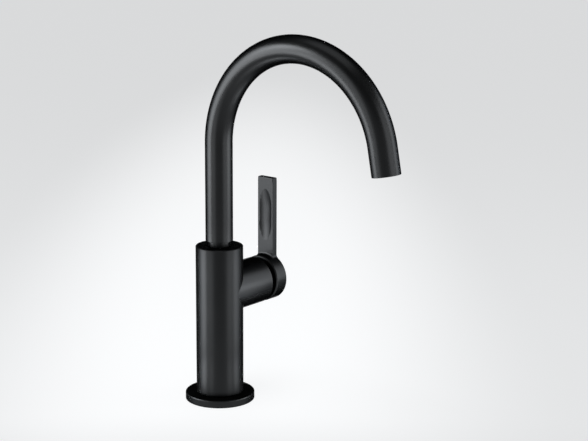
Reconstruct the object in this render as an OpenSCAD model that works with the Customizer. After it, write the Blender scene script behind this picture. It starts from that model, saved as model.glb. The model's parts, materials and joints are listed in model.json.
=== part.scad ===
// Gooseneck bar faucet, single lever at the side, swivelling spout.
// Millimetres. The origin is the centre of the flange's underside, on the deck.
// +Z is up, the spout points to -Y and the lever's branch to +X.

/* [Flange] */
// Diameter of the flange on the deck
flange_d = 61; // [56:0.5:70]
// Thickness of the flange
flange_h = 6.5; // [5.5:0.1:9]
// Chamfer on the flange's edges
flange_chamfer = 0.6; // [0.2:0.1:1.2]
// Outer diameter of the deck gasket
gasket_d = 53; // [48:0.5:54]
// Thickness of the deck gasket
gasket_h = 2; // [1:0.1:2.4]

/* [Body] */
// Wall of the body shell
shell_wall = 3; // [2.4:0.1:3.2]
// Wall of the spigot that centres the flange
spigot_wall = 1.7; // [1.2:0.1:2.2]
// Depth of the spigot in the flange
spigot_h = 3.5; // [2:0.1:3.5]
// Thickness of the shell's threaded top
top_wall = 8; // [6:0.1:9]
// Radius round the body's foot
foot_round = 1.3; // [0.5:0.1:1.5]
// Chamfer on the body's top rim
rim_chamfer = 0.6; // [0.2:0.1:1]

/* [Branch] */
// Height of the branch's axis above the deck
branch_z = 98.3; // [84:0.1:130]
// Distance of the cartridge's seat from the body's axis
seat_x = 8; // [7:0.1:9]
// Chamfer on the branch's rim
branch_chamfer = 0.5; // [0.2:0.1:1]

/* [Inlets] */
// Height of the inlet block's underside above the deck
block_z = 22; // [16:0.5:30]
// Height of the inlet block
block_h = 14; // [14:0.5:18]
// Diameter of the inlets' thread at its wall
inlet_d = 9; // [8.4:0.1:9.4]
// Depth of the inlets' thread
inlet_depth = 12; // [9:0.5:12]
// Distance between the two inlets
inlet_pitch = 15.6; // [14.6:0.1:16]
// Diameter of the fixing stud's thread at its wall
stud_d = 6.8; // [5:0.1:7]
// Depth of the fixing stud's thread
stud_depth = 12; // [8:0.5:12]
// Distance of the fixing stud from the body's axis
stud_x = 10.5; // [10:0.1:11.5]
// Diameter of the water passages from the inlets
passage_d = 6; // [4.5:0.1:6]

/* [Spout] */
// Outer diameter of the spout tube
tube_d = 24; // [23.4:0.1:26]
// Wall of the spout tube
tube_wall = 1.5; // [1:0.1:1.7]
// Gap between the body's top and the tube
swivel_gap = 4.5; // [2:0.1:7]
// Straight length of the tube below the bend
rise_len = 86.2; // [60:0.1:130]
// Radius of the bend at the tube's centre line
bend_r = 87.4; // [60:0.1:110]
// Angle that the bend turns through
bend_sweep = 169.2; // [150:0.1:180]
// Straight length after the bend
tip_len = 22.3; // [18:0.1:40]
// Chamfer on the tube's ends
tube_chamfer = 0.4; // [0.1:0.1:0.6]

/* [Swivel] */
// Diameter of the spout's neck
neck_d = 18.7; // [17:0.1:19.4]
// Diameter of the bore that the neck turns in
socket_d = 22; // [21.4:0.1:23]
// Depth of the bore that the neck turns in
socket_depth = 13.3; // [12:0.1:20]
// Wall between the cartridge's seat and the water room under the neck
socket_floor_t = 1.65; // [1.2:0.05:4]
// Diameter of the water way through the neck
neck_bore = 13; // [9:0.1:13.6]
// Diameter of the threaded collar that holds the neck
collar_d = 27; // [25:0.5:29]
// Thickness of the O-rings on the neck
ring_t = 1.9; // [1.5:0.1:2]

/* [Cartridge] */
// Diameter of the cartridge case
case_d = 28; // [26:0.1:32]
// Wall of the cartridge case
case_wall = 2; // [1.6:0.1:2.4]
// Room round the ceramic disc that stays still
disc_gap = 0.5; // [0.3:0.1:0.8]
// Room round the ceramic disc that slides
disc_room = 2.4; // [2.2:0.1:3]
// Width of the nut's thread round the case
nut_step = 1.9; // [1.4:0.1:2.4]
// Wall of the sleeve round the nut
sleeve_wall = 1.75; // [1.2:0.05:2.5]
// Distance from the lever's pivot to the ball that drives the disc
drive_arm = 8; // [7:0.1:9]
// Diameter of the drive ball
ball_d = 5; // [4:0.1:5.4]
// Diameter of the lever's pivot pin
pin_d = 3; // [2:0.1:3.4]
// Width across the stem's square head
stem_sq = 7; // [6:0.1:7]

/* [Lever] */
// Length of the hub along the branch's axis
hub_len = 13.6; // [12.6:0.1:18]
// Shadow groove between branch and hub
groove = 5.6; // [5.6:0.1:8]
// Height of the blade's top above the branch's axis
blade_top = 91.7; // [70:0.1:115]
// Width of the blade
blade_w = 17.6; // [15:0.1:22]
// Thickness of the blade
blade_t = 5.6; // [4.5:0.1:7]
// Radius where the blade's sides meet the hub
blade_fillet = 3; // [1:0.1:5]
// Radius of the blade's corners
blade_corner = 0.8; // [0.3:0.1:3]
// Width of the finger dish in the blade
dish_w = 13; // [8:0.1:14]
// Depth of the finger dish
dish_depth = 1.5; // [0.6:0.1:2.2]
// Height of the dish's lower end above the branch's axis
dish_low = 34; // [28:0.5:38]
// Length of the dish
dish_len = 47; // [36:0.5:48]

/* [Aerator] */
// Diameter of the aerator
aerator_d = 18.5; // [16.5:0.1:18.6]
// Height of the aerator
aerator_h = 9; // [8:0.1:10]
// How far the aerator sits inside the spout's end
aerator_recess = 2.3; // [1:0.1:4]
// Diameter of the holes in the outlet grille
grille_hole = 1.5; // [1:0.1:1.6]

/* [Fits] */
// Radial clearance of parts that turn in each other
run_gap = 0.07; // [0.03:0.01:0.1]
// Radial clearance of parts that are screwed or pushed together
fit_gap = 0.05; // [0.02:0.01:0.1]
// Clearance between parts that slide face to face
face_gap = 0.05; // [0.02:0.01:0.1]

/* [Hidden] */
$fn = 96;
black = "#1d1e20";
brass = "#b89a58";
rubber = "#161616";
polymer = "#d9d7cf";
dark_polymer = "#2b2c2e";
ceramic = "#f0efe9";
steel = "#9a9c9f";

// The body is as thick as the cartridge, its nut, the sleeve and the shell need.
core_r = case_d / 2 + nut_step + fit_gap + sleeve_wall;
shell_bore_r = core_r + fit_gap;
body_r = shell_bore_r + shell_wall;
spigot_r = shell_bore_r + spigot_wall;
core_z = block_z + block_h;
sleeve_bore_r = case_d / 2 + fit_gap;
sleeve_spigot_r = sleeve_bore_r + 1.45;
plenum_h = 2.5;
plenum_z = branch_z + sleeve_spigot_r + fit_gap + socket_floor_t;
socket_floor = plenum_z + plenum_h;
core_top = socket_floor + socket_depth;
body_top = core_top + top_wall;

// The cartridge's places are measured along the branch from the body's axis.
case_bore = case_d - 2 * case_wall;
fixed_disc_d = case_bore - 2 * disc_gap;
moving_disc_d = case_bore - 2 * disc_room;
base_t = 5;
base_rim = 2.5;
fixed_t = 4;
moving_t = 3.5;
ball_stand = 1.55;
fixed_x = seat_x + base_t;
moving_x = fixed_x + fixed_t + face_gap;
carrier_x = moving_x + moving_t;
carrier_t = 3.4;
yoke_x = carrier_x + carrier_t + 0.25;
ball_x = carrier_x + carrier_t + ball_stand + ball_d / 2;
boss_w = 2 * ball_d;
boss_end = ball_x + 2;
pivot_x = ball_x + drive_arm;
yoke_end = pivot_x + 3.9;
lip_x = yoke_end + face_gap;
lip_t = 2;
case_step_x = pivot_x - 2;
nut_t = 9;
nut_d = case_d + 2 * nut_step;
nut_wall_r = case_d / 2 - case_wall / 2;
sleeve_r = core_r;
sleeve_end = case_step_x + nut_t + 1;
dome_ring_t = 3.2;
dome_recess = 1.2;
branch_end = sleeve_end + dome_ring_t + dome_recess;
seal_t = 1.5;

// Ports of the cartridge, from the branch's axis: Y to the side, Z up
port_r = case_bore / 2;
inlet_port = [port_r * 7 / 15, port_r * 3 / 8];
outlet_port = [0, -port_r * 29 / 60];
inlet_port_d = port_r * 2 / 5;
outlet_port_d = port_r * 8 / 15;
inlet_x = -1;
riser_x = -6.5;
riser_d = 6.8;

// Height of the swivel's pieces, from the body's top
plenum_d = 17;
washer_t = 1;
neck_bottom = socket_floor + washer_t + face_gap;
shoulder_z = core_top - washer_t - face_gap;
tube_z = body_top + swivel_gap;
bend_z = tube_z + rise_len;
tube_r = tube_d / 2;
tube_bore_r = tube_r - tube_wall;
hair = 0.03;
neck_in_tube = 12;
ring_zs = [neck_bottom + 2.8, shoulder_z - 3.6];

// The lever
stroke_offset = -0.9;
stem_tip = branch_end + groove + hub_len - 3.6;
hub_x = branch_end + groove;
hub_end = hub_x + hub_len;
hub_r = body_r;
blade_x = hub_end - blade_t;
barrel_len = 9;
boss_r = 9;
pocket_r = hub_r - 3.2;
pocket_depth = 3.5;
screw_back = 6.6;
screw_x = hub_end - screw_back;
screw_d = 5;
screw_len = 8;
plug_len = 4;
dome_r = core_r - 0.7;
dome_wall = 1.4;
dome_mouth_r = 8.5;

// The spout's end
insert_lip = 1.3;
insert_setback = 0.8;
sealing_t = 1.6;
insert_len = aerator_recess + aerator_h + sealing_t + insert_lip;
aerator_r = aerator_d / 2;
housing_wall = 1.2;
regulator_t = 2.6;
screen_t = 1.2;
gasket_r = gasket_d / 2;

// Puts a turned piece on the branch: its own Z runs along +X, its own X points down.
module on_branch(x = 0) {
    translate([x, 0, branch_z]) rotate([0, 90, 0]) children();
}

// Puts a piece at the spout's mouth: its own Z is the way the water leaves.
module at_mouth() {
    translate([0, -bend_r, bend_z]) rotate([bend_sweep, 0, 0])
        translate([0, bend_r, tip_len]) children();
}

module ring(r_out, r_in, h) {
    difference() {
        cylinder(r = r_out, h = h);
        translate([0, 0, -1]) cylinder(r = r_in, h = h + 2);
    }
}

module o_ring(r_mid, thick) {
    rotate_extrude() translate([r_mid, 0]) circle(d = thick);
}

// A turned rod with one chamfered rim at its top and one at its foot
module turned(r, h, foot = 0, top = 0) {
    rotate_extrude() polygon([
        [0, 0], [r - foot, 0], [r, foot], [r, h - top], [r - top, h], [0, h]
    ]);
}

// The corner of a square that lies outside a quarter round, for taking off an edge
module quarter_waste(r) {
    difference() {
        translate([0, -r - 1]) square([r + 1, r + 1]);
        circle(r = r);
    }
}

// The cartridge's three water ports, as cutters along the branch
module ports(x, h, extra = 0) {
    for (side = [-1, 1])
        on_branch(x) translate([-inlet_port[1], side * inlet_port[0], 0])
            cylinder(d = inlet_port_d + extra, h = h);
    on_branch(x) translate([-outlet_port[1], outlet_port[0], 0])
        cylinder(d = outlet_port_d + extra, h = h);
}

module port_rings(x, thick) {
    for (side = [-1, 1])
        on_branch(x) translate([-inlet_port[1], side * inlet_port[0], 0])
            o_ring((inlet_port_d + thick) / 2 + fit_gap, thick);
    on_branch(x) translate([-outlet_port[1], outlet_port[0], 0])
        o_ring((outlet_port_d + thick) / 2 + fit_gap, thick);
}

module base_flange() {
    color(black) difference() {
        turned(flange_d / 2, flange_h, foot = flange_chamfer / 2, top = flange_chamfer);
        translate([0, 0, -1]) cylinder(r = spigot_r + fit_gap, h = flange_h + 2);
        translate([0, 0, -1]) cylinder(r = gasket_r + fit_gap, h = gasket_h + 1);
    }
}

module deck_gasket() {
    color(rubber) ring(gasket_r, spigot_r + fit_gap, gasket_h);
}

module body_shell() {
    color(black) difference() {
        union() {
            difference() {
                translate([0, 0, flange_h])
                    turned(body_r, body_top - flange_h, top = rim_chamfer);
                translate([0, 0, flange_h + foot_round]) rotate_extrude()
                    translate([body_r - foot_round, 0]) quarter_waste(foot_round);
            }
            translate([0, 0, flange_h - spigot_h]) cylinder(r = spigot_r, h = spigot_h + 1);
            on_branch() turned(body_r, branch_end, top = branch_chamfer);
        }
        translate([0, 0, -1]) cylinder(r = shell_bore_r, h = core_top + 1);
        on_branch() cylinder(r = shell_bore_r, h = branch_end + 1);
        translate([0, 0, core_top - 1]) cylinder(d = collar_d, h = top_wall + 2);
    }
}

module inlet_block() {
    color(brass) difference() {
        translate([0, 0, block_z]) turned(core_r, block_h, foot = 1);
        for (side = [-1, 1]) translate([inlet_x, side * inlet_pitch / 2, 0]) {
            translate([0, 0, block_z - 1]) cylinder(d = inlet_d, h = inlet_depth + 1);
            translate([0, 0, block_z]) cylinder(d = passage_d, h = block_h + 1);
        }
        translate([stud_x, 0, block_z - 1]) cylinder(d = stud_d, h = stud_depth + 1);
    }
}

module inlet_o_rings() {
    color(rubber) for (side = [-1, 1])
        translate([inlet_x, side * inlet_pitch / 2, core_z + seal_t / 2])
            o_ring((passage_d + seal_t) / 2 + fit_gap, seal_t);
}

module valve_core() {
    inlet_top = branch_z + inlet_port[1];
    waist_depth = 4;
    relief_low = core_z + 2.5 * waist_depth;
    relief_high = branch_z - sleeve_spigot_r - waist_depth;
    color(brass) difference() {
        translate([0, 0, core_z]) cylinder(r = core_r, h = core_top - core_z);
        // waist between the inlets and the cartridge
        translate([0, 0, relief_low]) ring(core_r + 1, core_r - waist_depth, relief_high - relief_low);
        for (side = [-1, 1]) {
            translate([inlet_x, side * inlet_pitch / 2, core_z - 1])
                cylinder(d = passage_d, h = inlet_top - core_z + 1);
            translate([inlet_x, side * inlet_pitch / 2, core_z - 1])
                cylinder(d = passage_d + 2 * seal_t + 4 * fit_gap, h = seal_t + 1);
            on_branch(inlet_x) translate([-inlet_port[1], side * inlet_port[0], 0])
                cylinder(d = inlet_port_d, h = seat_x - inlet_x + 1);
        }
        // mixed water: back from the cartridge, then up to the spout
        on_branch(riser_x) translate([-outlet_port[1], 0, 0])
            cylinder(d = outlet_port_d, h = seat_x - riser_x + 1);
        translate([riser_x, 0, branch_z + outlet_port[1]])
            cylinder(d = riser_d, h = socket_floor - branch_z - outlet_port[1]);
        translate([0, 0, plenum_z]) cylinder(d = plenum_d, h = plenum_h + 1);
        translate([0, 0, socket_floor]) cylinder(d = socket_d, h = core_top - socket_floor + 1);
        on_branch(seat_x) cylinder(r = sleeve_spigot_r + fit_gap, h = core_r);
    }
}

module cartridge_sleeve() {
    spigot_x = seat_x + seal_t + fit_gap;
    shoulder_x = core_r + 0.3;
    color(brass) difference() {
        union() {
            on_branch(spigot_x) cylinder(r = sleeve_spigot_r, h = shoulder_x - spigot_x + 1);
            on_branch(shoulder_x) cylinder(r = sleeve_r, h = sleeve_end - shoulder_x);
        }
        on_branch() cylinder(r = sleeve_bore_r, h = sleeve_end + 1);
        on_branch(case_step_x) cylinder(d = nut_d + 2 * fit_gap, h = sleeve_end);
    }
}

module sleeve_o_ring() {
    mid = (case_d / 2 + sleeve_spigot_r) / 2;
    color(rubber) on_branch(seat_x + seal_t / 2) o_ring(mid, sleeve_spigot_r - case_d / 2 - fit_gap);
}

module cartridge_base() {
    color(dark_polymer) difference() {
        union() {
            on_branch(seat_x) cylinder(r = case_d / 2 - fit_gap, h = base_rim);
            on_branch(seat_x) cylinder(r = case_bore / 2 - fit_gap, h = base_t);
        }
        ports(seat_x - 1, base_t + 2);
        ports(seat_x - 1, 1 + 1.2 + fit_gap, extra = 2.4 + 4 * fit_gap);
        ports(seat_x + base_t - 1.2 - fit_gap, 3, extra = 2.4 + 4 * fit_gap);
    }
}

module port_seals() {
    color(rubber) port_rings(seat_x + 0.6, 1.2);
}

module disc_seals() {
    color(rubber) port_rings(seat_x + base_t - 0.6, 1.2);
}

module fixed_disc() {
    color(ceramic) difference() {
        on_branch(fixed_x) cylinder(d = fixed_disc_d, h = fixed_t);
        ports(fixed_x - 1, fixed_t + 2);
    }
}

module cartridge_case() {
    case_x = seat_x + base_rim;
    color(dark_polymer) difference() {
        union() {
            on_branch(case_x) cylinder(d = case_d, h = case_step_x - case_x);
            on_branch(case_x) cylinder(r = nut_wall_r, h = lip_x + lip_t - case_x);
        }
        on_branch(case_x - 1) cylinder(d = case_bore, h = lip_x - case_x + 1);
        on_branch(lip_x - 1) cylinder(r = case_bore / 2 - 2, h = lip_t + 2);
    }
}

module cartridge_nut() {
    notch_w = 4;
    color(brass) difference() {
        on_branch(case_step_x) ring(nut_d / 2, nut_wall_r + fit_gap, nut_t);
        // four notches for the spanner
        for (turn = [0, 90]) on_branch(case_step_x + nut_t - 2) rotate([0, 0, turn])
            translate([-nut_d, -notch_w / 2, 0]) cube([2 * nut_d, notch_w, 3]);
    }
}

// A ball-shaped cap round the lever's pivot closes the branch behind the shadow groove.
module dome_cap() {
    ring_low = sleeve_end - pivot_x;
    ring_w = 3.2;
    color(black) on_branch(pivot_x) rotate_extrude() union() {
        intersection() {
            difference() {
                circle(r = dome_r);
                circle(r = dome_r - dome_wall);
            }
            translate([dome_mouth_r, ring_low]) square([dome_r, dome_r]);
        }
        translate([dome_r - ring_w, ring_low]) square([sleeve_r - dome_r + ring_w, dome_ring_t]);
    }
}

module swivel_collar() {
    hole_r = (collar_d + neck_d) / 4;
    color(black) difference() {
        translate([0, 0, core_top]) difference() {
            turned(collar_d / 2 - fit_gap, top_wall, foot = 0.4);
            translate([0, 0, -1]) cylinder(r = neck_d / 2 + run_gap, h = top_wall + 2);
        }
        // pin holes for the spanner
        for (turn = [0:90:270]) rotate([0, 0, turn + 45])
            translate([hole_r, 0, body_top - 2.5]) cylinder(d = 2, h = 3);
    }
}

module swivel_washer() {
    color(polymer) translate([0, 0, core_top - washer_t])
        ring(socket_d / 2 - fit_gap, neck_d / 2 + run_gap, washer_t);
}

module thrust_washer() {
    color(polymer) translate([0, 0, socket_floor])
        ring(socket_d / 2 - fit_gap, plenum_d / 2, washer_t);
}

module cartridge_yoke() {
    boss_slot = boss_w + 2 * face_gap;
    tilt_slot = 2 * stem_sq + 2;
    slot_end = boss_end + 0.2;
    color(polymer) difference() {
        on_branch(yoke_x) cylinder(r = case_bore / 2 - run_gap, h = yoke_end - yoke_x);
        // the disc carrier slides up and down in this slot
        translate([yoke_x - 1, -boss_slot / 2, branch_z - case_bore])
            cube([slot_end - yoke_x + 1, boss_slot, 2 * case_bore]);
        // and the stem tilts in this one
        translate([slot_end - 1, -stem_sq / 2 - face_gap, branch_z - tilt_slot / 2])
            cube([yoke_end - slot_end + 2, stem_sq + 2 * face_gap, tilt_slot]);
        translate([pivot_x, 0, branch_z]) rotate([90, 0, 0])
            cylinder(d = pin_d + 0.04, h = 2 * case_bore, center = true);
    }
}

module tilt_pin() {
    color(steel) translate([pivot_x, 0, branch_z]) rotate([90, 0, 0])
        cylinder(d = pin_d, h = case_bore - 1.4, center = true);
}

module disc_carrier() {
    color(dark_polymer) difference() {
        union() {
            translate([0, 0, stroke_offset]) on_branch(carrier_x)
                cylinder(r = moving_disc_d / 2 + 0.6, h = carrier_t);
            translate([carrier_x, -boss_w / 2, branch_z - boss_w / 2])
                cube([boss_end - carrier_x, boss_w, boss_w]);
        }
        on_branch(ball_x - ball_d / 2 - 0.3)
            cylinder(r = ball_d / 2 + face_gap, h = ball_d + 3);
    }
}

module moving_disc() {
    chamber_w = port_r * 7 / 6;
    color(ceramic) difference() {
        translate([0, 0, stroke_offset]) on_branch(moving_x)
            cylinder(d = moving_disc_d, h = moving_t);
        // mixing chamber in the face towards the fixed disc
        intersection() {
            translate([0, 0, stroke_offset]) on_branch(moving_x - 1)
                cylinder(d = moving_disc_d - 3, h = 1 + moving_t / 2);
            translate([moving_x - 1, -chamber_w / 2, branch_z - moving_disc_d])
                cube([moving_t, chamber_w, moving_disc_d + 1]);
        }
    }
}

module lever_stem() {
    head_x = pivot_x + barrel_len;
    color(brass) {
        // barrel round the pivot pin
        difference() {
            union() {
                translate([pivot_x, 0, branch_z]) rotate([90, 0, 0])
                    cylinder(r = 4, h = stem_sq, center = true);
                on_branch(pivot_x) cylinder(r = 3.3, h = head_x - pivot_x + 1);
                translate([head_x, -stem_sq / 2, branch_z - stem_sq / 2])
                    cube([stem_tip - head_x, stem_sq, stem_sq]);
                on_branch(pivot_x - drive_arm) cylinder(r1 = 1.6, r2 = 2.8, h = drive_arm);
                on_branch(pivot_x - drive_arm) sphere(d = ball_d);
            }
            translate([pivot_x, 0, branch_z]) rotate([90, 0, 0])
                cylinder(r = pin_d / 2 + face_gap, h = 2 * stem_sq, center = true);
        }
    }
}

// Outline of the blade seen along the branch: Y to the side, Z up from the branch's axis
module blade_outline() {
    half = blade_w / 2;
    fillet_z = sqrt(pow(hub_r + blade_fillet, 2) - pow(half + blade_fillet, 2));
    difference() {
        union() {
            translate([-half, 0]) square([blade_w, blade_top]);
            polygon([[0, 0], [half + blade_fillet, fillet_z], [-half - blade_fillet, fillet_z]]);
        }
        for (side = [0, 1]) mirror([side, 0]) {
            translate([half + blade_fillet, fillet_z]) circle(r = blade_fillet);
            translate([half - blade_corner, blade_top - blade_corner])
                difference() {
                    square(blade_corner + 1);
                    circle(r = blade_corner);
                }
        }
    }
}

module blade_prism(x, depth) {
    translate([x, 0, branch_z]) rotate([90, 0, 90]) linear_extrude(height = depth) blade_outline();
}

// A long barrel with rounded ends: the blade's dish is what it cuts from the face.
module dish_barrel() {
    half_w = dish_w / 2;
    r_side = (pow(half_w, 2) + pow(dish_depth, 2)) / (2 * dish_depth);
    end_len = dish_len * 0.36;
    r_end = (pow(end_len, 2) + pow(dish_depth, 2)) / (2 * dish_depth);
    run_out = 3;
    translate([blade_x + dish_depth - r_side, 0, branch_z + dish_low]) rotate_extrude()
        intersection() {
            union() {
                translate([0, end_len]) square([r_side, dish_len - 2 * end_len]);
                for (z = [end_len, dish_len - end_len])
                    translate([r_side - r_end, z]) circle(r = r_end);
            }
            translate([0, -run_out]) square([r_side, dish_len + 2 * run_out]);
        }
}

module lever_handle() {
    cove = 1.8;
    color(black) difference() {
        union() {
            on_branch(hub_x) turned(hub_r, hub_len, foot = 1, top = 0.5);
            blade_prism(blade_x, blade_t);
            // cove where the blade's face meets the hub
            intersection() {
                blade_prism(blade_x - cove - 1, cove + 2);
                on_branch(blade_x - cove) rotate_extrude() difference() {
                    translate([hub_r - 1, 0]) square([cove + 1, cove + 0.5]);
                    translate([hub_r + cove, 0]) circle(r = cove);
                }
            }
        }
        dish_barrel();
        on_branch(hub_x - 1) ring(pocket_r, boss_r, pocket_depth + 1);
        translate([hub_x - 1, -stem_sq / 2 - fit_gap, branch_z - stem_sq / 2 - fit_gap])
            cube([stem_tip + 0.2 - hub_x + 1, stem_sq + 2 * fit_gap, stem_sq + 2 * fit_gap]);
        translate([screw_x, 0, branch_z - hub_r - 1]) cylinder(d = screw_d + 2 * fit_gap, h = hub_r);
    }
}

module set_screw() {
    tip_z = branch_z - stem_sq / 2;
    color(steel) difference() {
        translate([screw_x, 0, tip_z - screw_len])
            turned(screw_d / 2, screw_len, foot = 0.4, top = 0.7);
        translate([screw_x, 0, tip_z - screw_len - 1]) cylinder(d = 2.9, h = 4, $fn = 6);
    }
}

module screw_plug() {
    plug_z = branch_z - hub_r + 0.4;
    color(dark_polymer) translate([screw_x, 0, plug_z])
        turned(screw_d / 2, plug_len, foot = 0.3, top = 0.6);
}

module bent(r) {
    translate([0, -bend_r, bend_z]) rotate([90, 0, 90])
        rotate_extrude(angle = bend_sweep) translate([bend_r, 0]) circle(r = r);
}

// The straight end is a hair thinner than the bend and starts inside it, so the two fuse cleanly.
module spout_tube() {
    lap = 0.5;
    color(black) difference() {
        union() {
            translate([0, 0, tube_z]) turned(tube_r, bend_z - tube_z, foot = tube_chamfer);
            bent(tube_r);
            at_mouth() translate([0, 0, -tip_len - lap])
                turned(tube_r - hair, tip_len + lap, top = tube_chamfer);
        }
        translate([0, 0, tube_z - 1]) cylinder(r = tube_bore_r, h = bend_z - tube_z + 1);
        bent(tube_bore_r);
        at_mouth() translate([0, 0, -tip_len - lap])
            cylinder(r = tube_bore_r - hair, h = tip_len + lap + 1);
    }
}

module spout_neck() {
    neck_r = neck_d / 2;
    piston_r = socket_d / 2 - run_gap;
    groove_r = piston_r - ring_t;
    color(black) difference() {
        union() {
            translate([0, 0, neck_bottom]) cylinder(r = piston_r, h = shoulder_z - neck_bottom);
            translate([0, 0, neck_bottom]) cylinder(r = neck_r, h = tube_z - neck_bottom + 1);
            translate([0, 0, tube_z]) turned(tube_bore_r - fit_gap, neck_in_tube, top = 0.5);
        }
        translate([0, 0, neck_bottom - 1]) cylinder(d = neck_bore, h = tube_z + neck_in_tube);
        for (z = ring_zs) translate([0, 0, z - ring_t / 2 - fit_gap])
            ring(piston_r + 1, groove_r, ring_t + 2 * fit_gap);
    }
}

module neck_o_rings() {
    ring_mid = socket_d / 2 - run_gap - ring_t / 2;
    color(rubber) for (z = ring_zs) translate([0, 0, z]) o_ring(ring_mid + fit_gap / 2, ring_t - fit_gap);
}

module outlet_insert() {
    color(brass) at_mouth() translate([0, 0, -insert_len]) difference() {
        cylinder(r = tube_bore_r - hair - fit_gap, h = insert_len - insert_setback);
        translate([0, 0, insert_lip]) cylinder(r = aerator_r + fit_gap, h = insert_len);
        translate([0, 0, -1]) cylinder(r = aerator_r - sealing_t, h = insert_lip + 2);
    }
}

module aerator_washer() {
    washer_z = -insert_len + insert_lip;
    color(rubber) at_mouth() translate([0, 0, washer_z])
        ring(aerator_r, aerator_r - 1.5, sealing_t);
}

module aerator_housing() {
    color(dark_polymer) at_mouth() translate([0, 0, -aerator_recess - aerator_h]) difference() {
        cylinder(r = aerator_r, h = aerator_h);
        translate([0, 0, -1]) cylinder(r = aerator_r - housing_wall, h = aerator_h + 1 - housing_wall);
        translate([0, 0, -1]) cylinder(r = aerator_r - 2, h = aerator_h + 2);
        // key notches in the mouth
        for (turn = [0:60:300]) rotate([0, 0, turn])
            translate([aerator_r - 0.8, -1, aerator_h - 1]) cube([2, 2, 2]);
    }
}

module aerator_disc(w, h) {
    at_mouth() translate([0, 0, w]) cylinder(r = aerator_r - housing_wall - fit_gap, h = h);
}

module flow_regulator() {
    top_w = -aerator_recess - aerator_h;
    color(polymer) difference() {
        aerator_disc(top_w, regulator_t);
        for (turn = [0:45:315]) at_mouth() rotate([0, 0, turn])
            translate([aerator_r * 0.55, 0, top_w - 1]) cylinder(d = 1.6, h = regulator_t + 2);
    }
}

module aerator_screen() {
    screen_w = -aerator_recess - aerator_h + regulator_t;
    color(steel) difference() {
        aerator_disc(screen_w, screen_t);
        for (row = [1:3]) for (k = [0:6 * row - 1]) at_mouth() rotate([0, 0, k * 60 / row])
            translate([row * 2.1, 0, screen_w - 1]) cylinder(d = 1.2, h = screen_t + 2);
        at_mouth() translate([0, 0, screen_w - 1]) cylinder(d = 1.2, h = screen_t + 2);
    }
}

// The outlet grille straightens the stream: rings of round holes in a thick disc.
module outlet_grille() {
    grille_t = aerator_h - regulator_t - screen_t - housing_wall;
    grille_w = -aerator_recess - housing_wall - grille_t;
    pitch = (aerator_r - 2) / 3.6;
    color(dark_polymer) difference() {
        aerator_disc(grille_w, grille_t);
        for (row = [1:3]) for (k = [0:6 * row - 1]) at_mouth() rotate([0, 0, k * 60 / row])
            translate([row * pitch, 0, grille_w - 1]) cylinder(d = grille_hole, h = grille_t + 2);
        at_mouth() translate([0, 0, grille_w - 1]) cylinder(d = grille_hole, h = grille_t + 2);
    }
}

base_flange();
deck_gasket();
body_shell();
inlet_block();
inlet_o_rings();
valve_core();
cartridge_sleeve();
sleeve_o_ring();
cartridge_base();
port_seals();
disc_seals();
fixed_disc();
cartridge_case();
cartridge_nut();
dome_cap();
swivel_collar();
swivel_washer();
thrust_washer();
cartridge_yoke();
tilt_pin();
disc_carrier();
moving_disc();
lever_stem();
lever_handle();
set_screw();
screw_plug();
spout_tube();
spout_neck();
neck_o_rings();
outlet_insert();
aerator_washer();
aerator_housing();
flow_regulator();
aerator_screen();
outlet_grille();
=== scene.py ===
import bpy
import bmesh
import json
from math import radians, degrees, sin, cos, tan, pi
from mathutils import Matrix, Vector


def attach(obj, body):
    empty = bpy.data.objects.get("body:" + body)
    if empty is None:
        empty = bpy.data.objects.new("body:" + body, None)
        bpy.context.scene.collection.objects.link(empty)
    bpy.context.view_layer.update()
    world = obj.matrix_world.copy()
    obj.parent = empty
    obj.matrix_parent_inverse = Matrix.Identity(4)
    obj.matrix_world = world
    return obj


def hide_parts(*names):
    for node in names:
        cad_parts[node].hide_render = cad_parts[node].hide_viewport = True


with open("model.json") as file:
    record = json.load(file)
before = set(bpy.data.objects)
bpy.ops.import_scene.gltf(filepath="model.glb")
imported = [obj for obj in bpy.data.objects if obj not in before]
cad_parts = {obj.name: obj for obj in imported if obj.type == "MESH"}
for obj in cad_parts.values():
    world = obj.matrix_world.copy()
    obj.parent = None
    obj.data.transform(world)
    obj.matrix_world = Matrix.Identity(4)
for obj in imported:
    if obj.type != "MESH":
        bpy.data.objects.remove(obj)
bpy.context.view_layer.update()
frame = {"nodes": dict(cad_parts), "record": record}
print("stage: frame loaded")

mm = 0.001
scene = bpy.context.scene


def toLinear(hexColour):
    # An sRGB hex colour as the linear one that the shaders take
    parts = [int(hexColour[i:i + 2], 16) / 255 for i in (1, 3, 5)]
    linear = [c / 12.92 if c <= 0.04045 else ((c + 0.055) / 1.055) ** 2.4 for c in parts]
    return (*linear, 1.0)


camera = {
    "azimuth": 48.163,      # degrees from the spout's side towards the user's left
    "distance": 1.3496,     # metres from the body's axis, along the floor
    "height": 0.4795,
    "heading": 50.918,      # degrees from straight back towards the user's right
    "pitch": 13.266,        # degrees down
    "roll": 0.316,
    "lens": 97.763,         # mm, as is the sensor's width
    "sensor": 36.0,
    "sight": 50.0,          # metres that it sees, which takes in the floor's far corner
}


def addCamera():
    azimuth, heading, pitch, roll = (radians(camera[angle])
                                     for angle in ("azimuth", "heading", "pitch", "roll"))
    forward = Vector((sin(heading) * cos(pitch), cos(heading) * cos(pitch), -sin(pitch)))
    right = Vector((cos(heading), -sin(heading), 0))
    up = right.cross(forward)
    turnedRight = right * cos(roll) + up * sin(roll)
    turnedUp = -right * sin(roll) + up * cos(roll)
    data = bpy.data.cameras.new("photoCamera")
    data.lens = camera["lens"]
    data.sensor_width = camera["sensor"]
    data.clip_end = camera["sight"]
    obj = bpy.data.objects.new("photoCamera", data)
    scene.collection.objects.link(obj)
    stand = Matrix((turnedRight, turnedUp, -forward)).transposed().to_4x4()
    stand.translation = Vector((-sin(azimuth) * camera["distance"],
                                -cos(azimuth) * camera["distance"], camera["height"]))
    obj.matrix_world = stand
    scene.camera = obj


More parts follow.
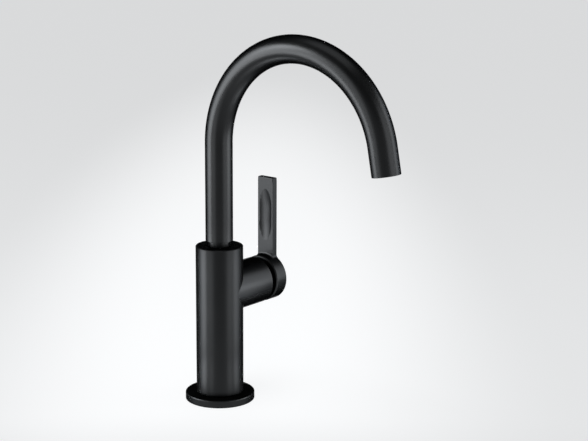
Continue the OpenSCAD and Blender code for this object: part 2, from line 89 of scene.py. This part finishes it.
addCamera()
scene.view_settings.view_transform = "Standard"
print("stage: camera")


def addNode(tree, kind, settings=None, links=None):
    # One node: settings are properties or input values, links go from a socket to an input
    node = tree.nodes.new(kind)
    for key, value in (settings or {}).items():
        if isinstance(key, str) and hasattr(node, key):
            setattr(node, key, value)
        else:
            node.inputs[key].default_value = value
    for key, socket in (links or {}).items():
        tree.links.new(socket, node.inputs[key])
    return node


def newMaterial(name):
    mat = bpy.data.materials.new(name)
    mat.use_nodes = True
    tree = mat.node_tree
    tree.nodes.clear()
    out = tree.nodes.new("ShaderNodeOutputMaterial")
    return mat, tree, out


patternSpan = (0.3, 0.7)    # most of a noise lies between these


def perMetre(sizeMm):
    # A pattern's scale, from the real size of what it draws
    return 1000 / sizeMm


def addSurface(tree, out, f, tonePattern, roughPattern, reliefPattern):
    # Two tones, a span of roughness and a fine relief, each led by a pattern
    tone = addNode(tree, "ShaderNodeMix", {"data_type": "RGBA", 6: toLinear(f["colours"][0]),
                                           7: toLinear(f["colours"][1])}, {0: tonePattern})
    rough = addNode(tree, "ShaderNodeMapRange",
                    {"From Min": patternSpan[0], "From Max": patternSpan[1],
                     "To Min": f["roughness"][0], "To Max": f["roughness"][1]},
                    {"Value": roughPattern})
    bump = addNode(tree, "ShaderNodeBump",
                   {"Strength": f["relief"], "Distance": f["reliefMm"] * mm},
                   {"Height": reliefPattern})
    shader = addNode(tree, "ShaderNodeBsdfPrincipled", f["constants"],
                     {"Base Color": tone.outputs[2], "Roughness": rough.outputs["Result"],
                      "Normal": bump.outputs["Normal"]})
    tree.links.new(shader.outputs[0], out.inputs[0])


def cloudedKind(f):
    # What is coated, moulded or lapped: slow clouds of tone, and a fine tooth
    mat, tree, out = newMaterial(f["name"])
    place = addNode(tree, "ShaderNodeTexCoord")
    pattern = {}
    for part in ("cloud", "grain"):
        pattern[part] = addNode(tree, "ShaderNodeTexNoise",
                                {"Scale": perMetre(f[part + "Mm"]), "Detail": f[part + "Detail"]},
                                {"Vector": place.outputs["Object"]}).outputs["Fac"]
    addSurface(tree, out, f, pattern["cloud"], pattern[f["shineBy"]], pattern["grain"])
    return mat


def turnedMetal(name, f, about):
    # Grooves run round the axis that the piece was turned about
    mat, tree, out = newMaterial(name)
    place = addNode(tree, "ShaderNodeTexCoord")
    onAxis = addNode(tree, "ShaderNodeMapping", {"vector_type": "TEXTURE", "Location": about[0],
                                                 "Rotation": about[1]},
                     {"Vector": place.outputs["Object"]})
    across = addNode(tree, "ShaderNodeVectorMath", {"operation": "MULTIPLY", 1: (1, 1, 0)},
                     {0: onAxis.outputs[0]})
    radius = addNode(tree, "ShaderNodeVectorMath", {"operation": "LENGTH"}, {0: across.outputs[0]})
    height = addNode(tree, "ShaderNodeSeparateXYZ", {}, {0: onAxis.outputs[0]})
    ring = addNode(tree, "ShaderNodeCombineXYZ", {},
                   {0: radius.outputs["Value"], 2: height.outputs["Z"]})
    groove = addNode(tree, "ShaderNodeTexNoise",
                     {"Scale": perMetre(f["grooveMm"]), "Detail": f["grooveDetail"]},
                     {"Vector": ring.outputs[0]}).outputs["Fac"]
    stain = addNode(tree, "ShaderNodeTexNoise",
                    {"Scale": perMetre(f["stainMm"]), "Detail": f["stainDetail"]},
                    {"Vector": place.outputs["Object"]}).outputs["Fac"]
    addSurface(tree, out, f, stain, groove, groove)
    return mat


# Matt black coating on brass: dark as graphite, dull at the rims, with soft wide highlights
blackFinish = {
    "name": "mattBlackCoating",
    "colours": ("#272829", "#2b2c2d"),
    "roughness": (0.31, 0.35),
    "shineBy": "cloud",     # the pattern that its roughness follows
    "cloudMm": 26,
    "cloudDetail": 3.0,
    "grainMm": 0.4,         # its fine tooth, about 0.05 mm, drawn coarser so that it shows
    "grainDetail": 2.0,
    "relief": 0.2,
    "reliefMm": 0.01,
    # the tint keeps it from brightening where it is seen edge on
    "constants": {"Metallic": 1.0, "Specular Tint": toLinear("#4a4b4d")},
}
# The same coat on the drawn tube, smoother below it, its tone lighter as painted light for
# brighter highlights
tubeFinishPaintedBright = dict(blackFinish, name="mattBlackOnTubePaintedBright", colours=("#2e2f30", "#323334"),
                  roughness=(0.29, 0.33))

turnedShared = {"grooveDetail": 1.0, "stainDetail": 4.0, "relief": 0.4,
                "constants": {"Metallic": 1.0}}
turnedKinds = {
    # Brass off the lathe: warm yellow, its shine broken into fine rings, a little tarnish
    "brass": {**turnedShared, "name": "turnedBrass", "colours": ("#c9a35c", "#a98446"),
              "roughness": (0.22, 0.4),
              "grooveMm": 0.35,   # the tool's feed leaves about 0.1 mm, drawn coarser to show
              "reliefMm": 0.012, "stainMm": 6},
    # Stainless steel, turned and brushed: cool grey with finer, softer rings
    "stainless": {**turnedShared, "name": "turnedStainless", "colours": ("#bcbdbf", "#a2a3a6"),
                  "roughness": (0.24, 0.36), "grooveMm": 0.2, "reliefMm": 0.006, "stainMm": 9},
}
# Brass for the stem, painted dark and dull as the groove's shade, so that the groove round it
# stays dark
stemBrassPaintedDark = {**turnedShared, "colours": ("#322f2b", "#26241f"), "roughness": (0.4, 0.55),
                  "grooveMm": 0.35, "reliefMm": 0.008, "stainMm": 3}
# A point on each turning axis, and the turn that lays Z along it
turnedAbout = {
    "body": ((0, 0, 0), (0, 0, 0)),
    "branch": ((36.0 * mm, 0, 98.3 * mm), (0, pi / 2, 0)),
    "hub": ((61.0 * mm, 0, 0), (0, 0, 0)),
    "outlet": ((0, -177.4 * mm, 224.5 * mm), (radians(-10.8), 0, 0)),
}
turnedOn = {"inlet_block": "body", "valve_core": "body", "cartridge_sleeve": "branch",
            "cartridge_nut": "branch", "lever_stem": "branch", "outlet_insert": "outlet",
            "tilt_pin": "branch", "set_screw": "hub", "aerator_screen": "outlet"}

mouldedShared = {"shineBy": "grain", "cloudDetail": 4.0, "grainDetail": 3.0, "relief": 0.3,
                 "constants": {}}
moulded = {
    # Nitrile rubber: dull black that takes up light, greyed by a faint bloom
    "rubber": {**mouldedShared, "name": "nitrileRubber", "colours": ("#161616", "#232322"),
               "roughness": (0.68, 0.86), "grainMm": 0.35, "reliefMm": 0.03, "cloudMm": 5},
    # Black acetal from a spark-eroded mould: a satin tooth, softly lit edges
    "dark_polymer": {**mouldedShared, "name": "blackAcetal", "colours": ("#212224", "#2a2b2d"),
                     "roughness": (0.38, 0.52), "grainMm": 0.25, "reliefMm": 0.02, "cloudMm": 8},
    # Natural acetal: milky white that lets some light in, so its edges look soft
    "white_polymer": {**mouldedShared, "name": "naturalAcetal", "colours": ("#d5d3c9", "#e2e0d8"),
                      "roughness": (0.34, 0.46), "grainMm": 0.3, "reliefMm": 0.015, "cloudMm": 8,
                      "constants": {"Subsurface Weight": 0.15, "Subsurface Scale": 1.0 * mm}},
    # Lapped alumina: cream white, near mirror flat with a wet-looking shine
    "ceramic": {**mouldedShared, "name": "lappedAlumina", "colours": ("#e8e5dd", "#f1efe9"),
                "roughness": (0.1, 0.18), "grainMm": 0.3, "reliefMm": 0.003, "cloudMm": 4,
                "constants": {"IOR": 1.76}},
}

finishes = {"black_lacquer": cloudedKind(blackFinish)}
# the tube's coat, lighter in tone as painted light
tubeCoatingPaintedBright = cloudedKind(tubeFinishPaintedBright)
for slotName, f in moulded.items():
    finishes[slotName] = cloudedKind(f)
for row in frame["record"]["subparts"]:
    slotName = key = row["material_slot"]
    if slotName in turnedKinds:
        axis = turnedOn[row["node"]]
        key = (slotName, axis)
        if key not in finishes:
            f = turnedKinds[slotName]
            finishes[key] = turnedMetal(f["name"] + axis.title(), f, turnedAbout[axis])
    slots = frame["nodes"][row["node"]].data.materials
    slots.clear()
    slots.append(finishes[key])
# the neck wears the tube's coat, lighter in tone as painted light
ownFinish = {"spout_neck": tubeCoatingPaintedBright,
             # the stem's dark brass is painted shade for the groove round it
             "lever_stem": turnedMetal("stemBrassPaintedDark", stemBrassPaintedDark, turnedAbout["branch"])}
for node, finish in ownFinish.items():
    frame["nodes"][node].data.materials[0] = finish
print("stage: materials")


def newPiece(name, mesh=None):
    obj = bpy.data.objects.new(name, mesh or bpy.data.meshes.new(name))
    scene.collection.objects.link(obj)
    return obj


def modify(obj, name, kind, **settings):
    mod = obj.modifiers.new(name, kind)
    for key, value in settings.items():
        setattr(mod, key, value)
    return mod


def settle(obj):
    # Turns the modified piece into a plain mesh and drops its modifiers
    seen = obj.evaluated_get(bpy.context.evaluated_depsgraph_get())
    mesh = bpy.data.meshes.new_from_object(seen)
    obj.modifiers.clear()
    obj.data = mesh
    mesh.name = obj.name
    return obj


def declare(obj, body, slotName, *nodes):
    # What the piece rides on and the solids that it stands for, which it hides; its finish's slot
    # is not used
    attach(obj, body)
    if nodes:
        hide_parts(*nodes)


def newTree(name, **labels):
    # A Geometry Nodes tree with named inputs, given by kind; returns it, its inputs and its end
    tree = bpy.data.node_groups.new(name, "GeometryNodeTree")
    for kind, names in labels.items():
        for label in names:
            tree.interface.new_socket(label, in_out="INPUT", socket_type="NodeSocket" + kind)
    tree.interface.new_socket("Geometry", in_out="OUTPUT", socket_type="NodeSocketGeometry")
    return tree, tree.nodes.new("NodeGroupInput").outputs, tree.nodes.new("NodeGroupOutput")


def endTree(tree, shape, finish, out):
    real = addNode(tree, "GeometryNodeRealizeInstances", {}, {0: shape})
    done = addNode(tree, "GeometryNodeSetMaterial", {}, {"Geometry": real.outputs[0],
                                                         "Material": finish})
    tree.links.new(done.outputs[0], out.inputs[0])
    return tree


def runTree(obj, tree, values):
    # Sets the inputs by their identifiers, then keeps the result as a plain mesh
    mod = modify(obj, tree.name, "NODES", node_group=tree)
    for item in tree.interface.items_tree:
        if item.in_out == "INPUT" and item.name in values:
            mod[item.identifier] = values[item.name]
    return settle(obj)


edgeSteps = 3               # faces across a rounded edge

# The spout is one straight tube, led round the bend by a rule
spout = {
    "Start Height": 143.8 * mm,
    "Rise Length": 86.2 * mm,
    "Bend Radius": 87.4 * mm,
    "Bend Angle": radians(169.2),
    "Tip Length": 22.3 * mm,
    "Tube Radius": 12 * mm,
    "Rings": 244,
    "Sides": 96,
    # the tube's coat, lighter in tone as painted light
    "Finish": tubeCoatingPaintedBright,
    "wall": 1.5 * mm,
    "rim": 0.4 * mm,            # rounds the tube's ends
    "rimFrom": radians(50),     # edges less sharp than this stay as they are
}

# Each line: what it makes, the operation, and what it takes. x, y, z is a point of the
# straight tube, which ends up at x, ledY, ledZ.
bendRule = [
    ("arc", "MULTIPLY", "Bend Radius", "Bend Angle"),
    ("riseAndArc", "ADD", "Rise Length", "arc"),
    ("total", "ADD", "riseAndArc", "Tip Length"),
    ("half", "MULTIPLY", "total", 0.5),
    ("along", "ADD", "z", "half"),
    ("past", "SUBTRACT", "along", "Rise Length"),
    ("angle", "DIVIDE", "past", "Bend Radius"),
    ("angleFrom", "MAXIMUM", "angle", 0.0),
    ("turn", "MINIMUM", "angleFrom", "Bend Angle"),
    ("beyond", "SUBTRACT", "past", "arc"),
    ("tail", "MAXIMUM", "beyond", 0.0),
    ("sine", "SINE", "turn"),
    ("cosine", "COSINE", "turn"),
    ("inward", "SUBTRACT", "cosine", 1.0),
    ("arcReach", "MULTIPLY", "Bend Radius", "inward"),
    ("tailReach", "MULTIPLY", "sine", "tail"),
    ("reach", "SUBTRACT", "arcReach", "tailReach"),
    ("upright", "MINIMUM", "along", "Rise Length"),
    ("foot", "ADD", "Start Height", "upright"),
    ("arcRise", "MULTIPLY_ADD", "Bend Radius", "sine", "foot"),
    ("rise", "MULTIPLY_ADD", "cosine", "tail", "arcRise"),
    ("ledY", "MULTIPLY_ADD", "y", "cosine", "reach"),
    ("ledZ", "MULTIPLY_ADD", "y", "sine", "rise"),
]


def spoutTree():
    tree, inputs, out = newTree("bentTube", Float=("Start Height", "Rise Length", "Bend Radius",
                                                   "Bend Angle", "Tip Length", "Tube Radius"),
                                Int=("Rings", "Sides"), Material=("Finish",))
    place = addNode(tree, "GeometryNodeInputPosition")
    at = addNode(tree, "ShaderNodeSeparateXYZ", {}, {0: place.outputs[0]})
    known = {"x": at.outputs[0], "y": at.outputs[1], "z": at.outputs[2]}
    known.update({socket.name: socket for socket in inputs if socket.name})
    for made, operation, *taken in bendRule:
        numbers = {k: t for k, t in enumerate(taken) if not isinstance(t, str)}
        sockets = {k: known[t] for k, t in enumerate(taken) if isinstance(t, str)}
        known[made] = addNode(tree, "ShaderNodeMath", {"operation": operation, **numbers},
                              sockets).outputs[0]
    straight = addNode(tree, "GeometryNodeMeshCylinder", {"fill_type": "NONE"},
                       {"Vertices": inputs["Sides"], "Side Segments": inputs["Rings"],
                        "Radius": inputs["Tube Radius"], "Depth": known["total"]})
    led = addNode(tree, "ShaderNodeCombineXYZ", {},
                  {0: known["x"], 1: known["ledY"], 2: known["ledZ"]})
    bent = addNode(tree, "GeometryNodeSetPosition", {},
                   {"Geometry": straight.outputs["Mesh"], "Position": led.outputs[0]})
    smooth = addNode(tree, "GeometryNodeSetShadeSmooth", {}, {0: bent.outputs[0]})
    return endTree(tree, smooth.outputs[0], inputs["Finish"], out)


def makeSpout():
    tube = runTree(newPiece("spoutTube"), spoutTree(), spout)
    modify(tube, "wall", "SOLIDIFY", thickness=spout["wall"], offset=-1)
    modify(tube, "rim", "BEVEL", width=spout["rim"], segments=edgeSteps, limit_method="ANGLE",
           angle_limit=spout["rimFrom"], harden_normals=True)
    settle(tube)
    declare(tube, "spout", "black_lacquer", "spout_tube")
    print("piece", tube.name, len(tube.data.polygons))


makeSpout()
print("stage: spout")

# The threads in the block's three holes, which the solids have as plain walls
threads = {
    "inletThreads": {"Hole Radius": 4.5 * mm, "Pitch": 1.0 * mm, "Count": 2,
                     "First": (-1.0 * mm, -7.8 * mm, 22.3 * mm), "Apart": (0, 15.6 * mm, 0)},
    "studThread": {"Hole Radius": 3.4 * mm, "Pitch": 1.25 * mm, "Count": 1,
                   "First": (10.5 * mm, 0, 22.3 * mm), "Apart": (0, 0, 0)},
}
threadShared = {"Length": 11.2 * mm, "Ridge": 0.3 * mm, "Turn Steps": 40, "Ridge Sides": 8,
                "Finish": finishes["brass", "body"]}


def threadTree():
    # A ridge wound up the wall of a hole, set into each hole of a row
    tree, inputs, out = newTree("threadRidges", Float=("Hole Radius", "Pitch", "Length", "Ridge"),
                                Int=("Turn Steps", "Ridge Sides", "Count"),
                                Vector=("First", "Apart"), Material=("Finish",))
    turns = addNode(tree, "ShaderNodeMath", {"operation": "DIVIDE"},
                    {0: inputs["Length"], 1: inputs["Pitch"]})
    helix = addNode(tree, "GeometryNodeCurveSpiral", {},
                    {"Resolution": inputs["Turn Steps"], "Rotations": turns.outputs[0],
                     "Start Radius": inputs["Hole Radius"], "End Radius": inputs["Hole Radius"],
                     "Height": inputs["Length"]})
    crest = addNode(tree, "GeometryNodeCurvePrimitiveCircle", {},
                    {"Resolution": inputs["Ridge Sides"], "Radius": inputs["Ridge"]})
    ridge = addNode(tree, "GeometryNodeCurveToMesh", {"Fill Caps": True},
                    {"Curve": helix.outputs[0], "Profile Curve": crest.outputs[0]})
    smooth = addNode(tree, "GeometryNodeSetShadeSmooth", {}, {0: ridge.outputs[0]})
    row = addNode(tree, "GeometryNodeMeshLine", {"mode": "OFFSET"},
                  {"Count": inputs["Count"], "Start Location": inputs["First"],
                   "Offset": inputs["Apart"]})
    copies = addNode(tree, "GeometryNodeInstanceOnPoints", {},
                     {"Points": row.outputs[0], "Instance": smooth.outputs[0]})
    return endTree(tree, copies.outputs[0], inputs["Finish"], out)


ridges = threadTree()
for name, values in threads.items():
    thread = runTree(newPiece(name), ridges, {**values, **threadShared})
    declare(thread, "body", "brass")
    print("piece", name, len(thread.data.polygons))
print("stage: threads")

# Turned, milled and moulded pieces: the solid's own form with its edges broken, in mm
broken = {
    "lever_handle": {"piece": "leverHandle", "body": "lever", "edge": 0.25, "bladeEdge": 0.7},
    "base_flange": {"piece": "deckFlange", "body": "body", "edge": 0.15},
    "swivel_collar": {"piece": "swivelCollar", "body": "body", "edge": 0.12},
    "deck_gasket": {"piece": "deckGasket", "body": "body", "edge": 0.1, "slot": "rubber"},
}
sameSpot = 1e-6             # metres within which two corners are one
flatWithin = radians(0.2)   # the angle within which two faces are one
sharpFrom = radians(28)     # edges sharper than this are broken
blade = {
    "face": 62.0,               # mm from the body's axis, along the branch
    "foot": 121.0,              # mm above the deck
    "dishEnds": (130, 182),     # mm above the deck, just past the dish's ends
    "dishHalf": 6.6,            # just over half its width
    "dishDepth": 1.6,           # just over its depth
    "dishSpread": 1.14,         # the finger dish runs out this much wider into the blade's face
    "beside": 0.2,              # the wide roundings keep this far from it
}


def easeBlade(shape, weight):
    # Wider roundings along the blade, and a dish that runs out softly to the blade's sides
    low, high = blade["dishEnds"]
    dishBack = blade["face"] + blade["dishDepth"]
    clear = blade["dishHalf"] * blade["dishSpread"] + blade["beside"]
    for corner in shape.verts:
        x, y, z = (c / mm for c in corner.co)
        if low < z < high and abs(y) < blade["dishHalf"] and x < dishBack:
            corner.co.y *= blade["dishSpread"]
    for edge in shape.edges:
        ends = [corner.co / mm for corner in edge.verts]
        outer = all(abs(end.y) > clear or end.z > high for end in ends)
        if edge[weight] > 0 and outer and min(end.z for end in ends) > blade["foot"]:
            edge[weight] = 1.0


def breakEdges(node, made):
    source = frame["nodes"][node]
    shape = bmesh.new()
    shape.from_mesh(source.data)
    bmesh.ops.remove_doubles(shape, verts=shape.verts, dist=sameSpot)
    bmesh.ops.dissolve_limit(shape, angle_limit=flatWithin, verts=shape.verts, edges=shape.edges)
    widest = made.get("bladeEdge", made["edge"])
    weight = shape.edges.layers.float.new("bevel_weight_edge")
    for edge in shape.edges:
        sharp = len(edge.link_faces) == 2 and edge.calc_face_angle() > sharpFrom
        edge[weight] = made["edge"] / widest if sharp else 0.0
        edge.smooth = not sharp
    if "bladeEdge" in made:
        easeBlade(shape, weight)
    mesh = bpy.data.meshes.new(made["piece"])
    shape.to_mesh(mesh)
    shape.free()
    mesh.materials.append(source.data.materials[0])
    for face in mesh.polygons:
        face.use_smooth = True
    obj = newPiece(made["piece"], mesh)
    modify(obj, "rounding", "BEVEL", width=widest * mm, segments=edgeSteps,
           limit_method="WEIGHT", use_clamp_overlap=False, harden_normals=True)
    modify(obj, "even", "WEIGHTED_NORMAL", keep_sharp=True)
    settle(obj)
    declare(obj, made["body"], made.get("slot", "black_lacquer"), node)
    print("piece", made["piece"], len(obj.data.polygons))


for node, made in broken.items():
    breakEdges(node, made)
print("stage: broken edges")

lamps = {
    # name: degrees round from the camera's own side, half its angle, brightness
    "left": (-88, 19, 6.2),
    "leftFill": (-45, 14, 1.2),
    "right": (90, 19, 3.4),
    "rightFill": (50, 15, 1.3),
    "back": (172, 15, 2.5),
}
# Each is a tall far panel with nearer ones at its foot, as if it reached below the floor's level:
# distance, low end, high end, share of the brightness.
tiers = [(0.6, 0.0, 0.64, 1.15), (0.12, 0.012, 0.115, 1.05), (0.06, 0.0, 0.026, 1.0)]
bodyRadius = 0.02075        # metres
archLamp = {"turn": -76, "distance": 0.57, "height": 0.5, "size": (0.2, 0.2),
            "brightness": 5.0}  # the arch's top mirrors it
overhead = {"turn": 0, "distance": 0, "height": 1.05, "size": (0.6, 0.6)}
overheadOn = {"faucet": 0.9, "floor": 5.0}


def addLamp(name, turn, distance, height, size, brightness):
    # An area lamp that the camera doesn't see; its brightness is 1 where it would show as white
    data = bpy.data.lights.new(name, "AREA")
    data.shape = "RECTANGLE"
    data.size, data.size_y = size
    data.energy = brightness * pi * size[0] * size[1]
    obj = bpy.data.objects.new(name, data)
    obj.visible_camera = False
    scene.collection.objects.link(obj)
    angle = radians(270 - camera["azimuth"] + turn)
    spot = Vector((cos(angle) * distance, sin(angle) * distance, height))
    aim = Vector((0, 0, height if distance else 0)) - spot
    obj.matrix_world = Matrix.Translation(spot) @ aim.to_track_quat("-Z", "Y").to_matrix().to_4x4()
    return obj


faucetLamps = []
for name, (turn, half, brightness) in lamps.items():
    for k, (distance, low, high, part) in enumerate(tiers):
        # A near panel stands where the body mirrors it beside the far one
        aside = degrees(bodyRadius * sin(radians(turn / 2)) / distance) if k else 0
        width = 2 * (distance - bodyRadius * abs(cos(radians(turn / 2)))) * tan(radians(half))
        faucetLamps.append(addLamp(name + str(k), turn - aside, distance, (low + high) / 2,
                                   (width, high - low), brightness * part))
faucetLamps.append(addLamp("overheadSoft", **overhead, brightness=overheadOn["faucet"]))
faucetLamps.append(addLamp("archLamp", **archLamp))
floorLamp = addLamp("overheadFloor", **overhead, brightness=overheadOn["floor"])
print("stage: lamps")

room = {
    "front": 0.55,          # how pale the side is that the photo was taken from
    "frontStart": -0.1,     # where that side begins and where it is reached, as a share of the way
    "frontEnd": -0.8,
    "far": 0.78,            # how pale the distance is, next to the pool of light round the object
    "ceiling": 0.2,         # how pale it is overhead
    "ceilingEdge": (0.2, 0.6),
    "poolBehind": 0.4,      # metres from the object's axis to the pool's centre
    "poolSize": (0.25, 1.4, 1.0),   # metres across the view, along it and up
    "poolEdge": (0.3, 1.3),         # in those sizes, where it starts to fade and where it ends
    "pale": "#fafbfc",
    "dim": 0.05,            # how strongly it lights what is matt
}
backWay = (sin(radians(camera["heading"])), cos(radians(camera["heading"])), 0)


def surroundings(tree, way, spot=None):
    # The pale room, for the camera's rays and for those off gloss and through glass alike.
    # It is dimmer on the side that the photo was taken from, and paler round the object.
    rays = addNode(tree, "ShaderNodeLightPath")
    direct = addNode(tree, "ShaderNodeMath", {"operation": "MAXIMUM"},
                     {0: rays.outputs["Is Camera Ray"], 1: rays.outputs["Is Transmission Ray"]})
    seen = addNode(tree, "ShaderNodeMath", {"operation": "MAXIMUM"},
                   {0: direct.outputs[0], 1: rays.outputs["Is Glossy Ray"]})
    depth = addNode(tree, "ShaderNodeVectorMath", {"operation": "DOT_PRODUCT", 1: backWay},
                    {0: way})
    front = addNode(tree, "ShaderNodeMapRange", {"interpolation_type": "SMOOTHSTEP",
                                                 "From Min": room["frontEnd"],
                                                 "From Max": room["frontStart"],
                                                 "To Min": room["front"], "To Max": 1.0},
                    {"Value": depth.outputs["Value"]})
    upward = addNode(tree, "ShaderNodeSeparateXYZ", {}, {0: way})
    ceiling = addNode(tree, "ShaderNodeMapRange", {"interpolation_type": "SMOOTHSTEP",
                                                   "From Min": room["ceilingEdge"][0],
                                                   "From Max": room["ceilingEdge"][1],
                                                   "To Min": 1.0, "To Max": room["ceiling"]},
                      {"Value": upward.outputs["Z"]})
    walls = addNode(tree, "ShaderNodeMath", {"operation": "MULTIPLY"},
                    {0: front.outputs["Result"], 1: ceiling.outputs["Result"]})
    paleness = addNode(tree, "ShaderNodeMath", {"operation": "MULTIPLY", 1: room["far"]},
                       {0: walls.outputs[0]})
    if spot:
        pool = addNode(tree, "ShaderNodeMapping",
                       {"vector_type": "TEXTURE",
                        "Location": tuple(c * room["poolBehind"] for c in backWay),
                        "Rotation": (0, 0, -radians(camera["heading"])),
                        "Scale": room["poolSize"]}, {"Vector": spot})
        away = addNode(tree, "ShaderNodeVectorMath", {"operation": "LENGTH"},
                       {0: pool.outputs[0]})
        light = addNode(tree, "ShaderNodeMapRange", {"interpolation_type": "SMOOTHSTEP",
                                                     "From Min": room["poolEdge"][0],
                                                     "From Max": room["poolEdge"][1],
                                                     "To Min": 1.0, "To Max": room["far"]},
                        {"Value": away.outputs["Value"]})
        tree.links.new(light.outputs["Result"], paleness.inputs[1])
    return addNode(tree, "ShaderNodeMath", {"operation": "MULTIPLY"},
                   {0: seen.outputs[0], 1: paleness.outputs[0]}).outputs[0]


world = bpy.data.worlds.new("studio")
scene.world = world
world.use_nodes = True
sky = world.node_tree
sky.nodes.clear()
way = addNode(sky, "ShaderNodeTexCoord")
dim, pale = (addNode(sky, "ShaderNodeBackground", {"Color": toLinear(room["pale"]),
                                                   "Strength": strength})
             for strength in (room["dim"], 1.0))
mixed = addNode(sky, "ShaderNodeMixShader", {}, {0: surroundings(sky, way.outputs["Generated"]),
                                                 1: dim.outputs[0], 2: pale.outputs[0]})
addNode(sky, "ShaderNodeOutputWorld", {}, {0: mixed.outputs[0]})
print("stage: room")

# A board that takes the shadow and shows how pale the room is, seen from above only
floorBoard = {
    "half": 30.0,           # metres to its edge
    "below": 0.0002,        # metres that it lies under the flange
    "near": 0.25,           # metres within which it is as pale in front as behind
    "matt": "#7c7d7e",
    "glow": "#f1f2f3",
}


def paleBoard():
    mat, board, out = newMaterial("paleBoard")
    spot = addNode(board, "ShaderNodeTexCoord").outputs["Object"]
    reach = addNode(board, "ShaderNodeVectorMath", {"operation": "LENGTH"}, {0: spot})
    beyond = addNode(board, "ShaderNodeMath", {"operation": "ADD", 1: floorBoard["near"]},
                     {0: reach.outputs["Value"]})
    share = addNode(board, "ShaderNodeMath", {"operation": "DIVIDE", 0: 1.0},
                    {1: beyond.outputs[0]})
    outward = addNode(board, "ShaderNodeVectorMath", {"operation": "SCALE"},
                      {0: spot, "Scale": share.outputs[0]})
    matt = addNode(board, "ShaderNodeBsdfDiffuse", {"Color": toLinear(floorBoard["matt"])})
    glow = addNode(board, "ShaderNodeEmission", {"Color": toLinear(floorBoard["glow"])},
                   {"Strength": surroundings(board, outward.outputs[0], spot)})
    both = addNode(board, "ShaderNodeAddShader", {}, {0: matt.outputs[0], 1: glow.outputs[0]})
    under = addNode(board, "ShaderNodeNewGeometry")
    clear = addNode(board, "ShaderNodeBsdfTransparent")
    oneWay = addNode(board, "ShaderNodeMixShader", {}, {0: under.outputs["Backfacing"],
                                                        1: both.outputs[0], 2: clear.outputs[0]})
    board.links.new(oneWay.outputs[0], out.inputs[0])
    return mat


floorMesh = bpy.data.meshes.new("floor")
floorMesh.from_pydata([(x * floorBoard["half"], y * floorBoard["half"], -floorBoard["below"])
                       for x, y in ((-1, -1), (1, -1), (1, 1), (-1, 1))], [], [(0, 1, 2, 3)])
floor = newPiece("floor", floorMesh)
floorMesh.materials.append(paleBoard())
print("stage: floor")

# The side panels light the faucet alone, so that the floor shows no edge of their light,
# and one overhead lamp gives the floor its soft shadow.
noFloor = bpy.data.collections.new("allButFloor")
noFloor.objects.link(floor)
noFloor.collection_objects[0].light_linking.link_state = "EXCLUDE"
for lamp in faucetLamps:
    lamp.light_linking.receiver_collection = noFloor
onlyFloor = bpy.data.collections.new("onlyFloor")
onlyFloor.objects.link(floor)
floorLamp.light_linking.receiver_collection = onlyFloor
